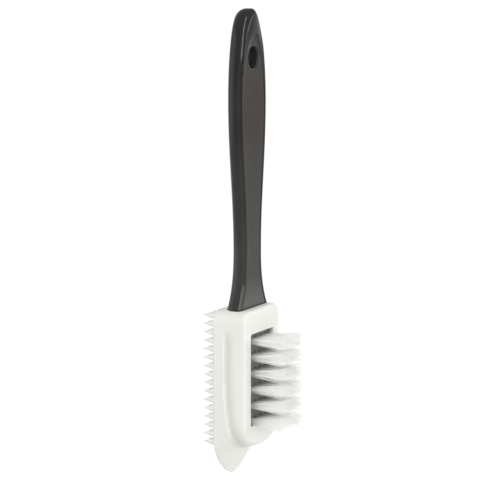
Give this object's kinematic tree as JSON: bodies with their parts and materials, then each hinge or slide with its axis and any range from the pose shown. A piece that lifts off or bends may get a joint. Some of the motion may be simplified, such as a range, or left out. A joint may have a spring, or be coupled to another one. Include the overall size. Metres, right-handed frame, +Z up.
{
  "type": "suede brush",
  "caption": "Suede brush: dark plastic handle with a hanging hole, pale rubber head with pins behind, a raked pointed nose and a window of stiff nylon tufts.",
  "frame": {"origin": "centre of the hanging hole, half way through the handle", "axes": "+Z up along the handle, away from the head; -Y to the front, the way the nylon tufts point; X across the brush"},
  "size_m": [0.0428, 0.0452, 0.2445],
  "materials": {
    "handle_plastic": "satin moulded plastic, dark grey",
    "sleeve_rubber": "soft matt rubber, off-white",
    "nylon": "stiff translucent nylon strands",
    "anchor_wire": "flat steel wire"
  },
  "bodies": {
    "root": {"handle": "handle_plastic", "head_sleeve": "sleeve_rubber", "tuft_1_1": "nylon", "tuft_1_2": "nylon", "tuft_1_3": "nylon", "tuft_1_4": "nylon", "tuft_2_1": "nylon", "tuft_2_2": "nylon", "tuft_2_3": "nylon", "tuft_2_4": "nylon", "tuft_3_1": "nylon", "tuft_3_2": "nylon", "tuft_3_3": "nylon", "tuft_3_4": "nylon", "tuft_4_1": "nylon", "tuft_4_2": "nylon", "tuft_4_3": "nylon", "tuft_4_4": "nylon", "tuft_5_1": "nylon", "tuft_5_2": "nylon", "tuft_5_3": "nylon", "tuft_5_4": "nylon", "tuft_6_1": "nylon", "tuft_6_2": "nylon", "tuft_6_3": "nylon", "tuft_6_4": "nylon", "anchor_1_1": "anchor_wire", "anchor_1_2": "anchor_wire", "anchor_1_3": "anchor_wire", "anchor_1_4": "anchor_wire", "anchor_2_1": "anchor_wire", "anchor_2_2": "anchor_wire", "anchor_2_3": "anchor_wire", "anchor_2_4": "anchor_wire", "anchor_3_1": "anchor_wire", "anchor_3_2": "anchor_wire", "anchor_3_3": "anchor_wire", "anchor_3_4": "anchor_wire", "anchor_4_1": "anchor_wire", "anchor_4_2": "anchor_wire", "anchor_4_3": "anchor_wire", "anchor_4_4": "anchor_wire", "anchor_5_1": "anchor_wire", "anchor_5_2": "anchor_wire", "anchor_5_3": "anchor_wire", "anchor_5_4": "anchor_wire", "anchor_6_1": "anchor_wire", "anchor_6_2": "anchor_wire", "anchor_6_3": "anchor_wire", "anchor_6_4": "anchor_wire"}
  },
  "joints": []
}
